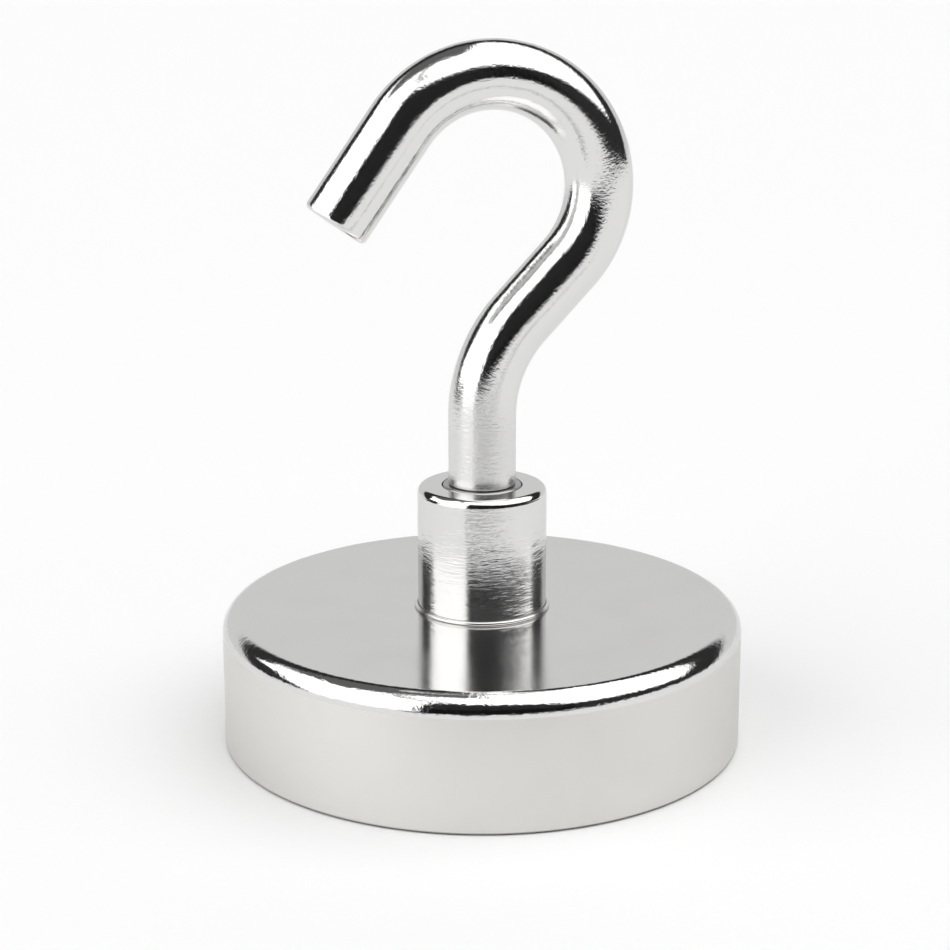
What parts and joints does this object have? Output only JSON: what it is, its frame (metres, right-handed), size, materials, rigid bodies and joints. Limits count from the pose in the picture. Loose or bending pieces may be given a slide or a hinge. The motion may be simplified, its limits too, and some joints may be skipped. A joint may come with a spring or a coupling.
{
  "type": "hooked pot magnet",
  "caption": "Round steel pot magnet with a threaded centre boss and a bent steel hook that screws into it, for lifting steel on a rope.",
  "frame": {"origin": "centre of the working face, the plane of the cup's rim, where the magnet meets what it holds", "axes": "+Z along the boss and the shank, away from the working face; the hook lies in the XZ plane, with its tip towards -X and its bow towards +X"},
  "size_m": [0.06, 0.06, 0.0802],
  "materials": {
    "cup_nickel": "polished",
    "magnet_nickel": "satin",
    "bond_adhesive": "matte",
    "sealing_resin": "satin",
    "boss_nickel": "polished",
    "braze_metal": "polished",
    "ring_steel": "satin",
    "hook_nickel": "polished"
  },
  "bodies": {
    "magnet_base": {"pot_cup": "cup_nickel", "magnet_disc": "magnet_nickel", "bond_film": "bond_adhesive", "resin_ring": "sealing_resin", "threaded_boss": "boss_nickel", "braze_bead": "braze_metal"},
    "split_ring": {"stop_ring": "ring_steel"},
    "screw_hook": {"hook": "hook_nickel"}
  },
  "joints": [
    {"name": "hook_lift", "type": "slide", "parent": "magnet_base", "child": "split_ring", "axis": [0, 0, 1], "range_m": [0, 0.0122]},
    {"name": "hook_turn", "type": "hinge", "parent": "split_ring", "child": "screw_hook", "pos_m": [0, 0, 0.03], "axis": [0, 0, 1], "range_deg": [0, 3510]}
  ],
  "couplings": [
    {"joint": "hook_lift", "follows": "hook_turn", "m_per_rad": 0.00019894}
  ]
}
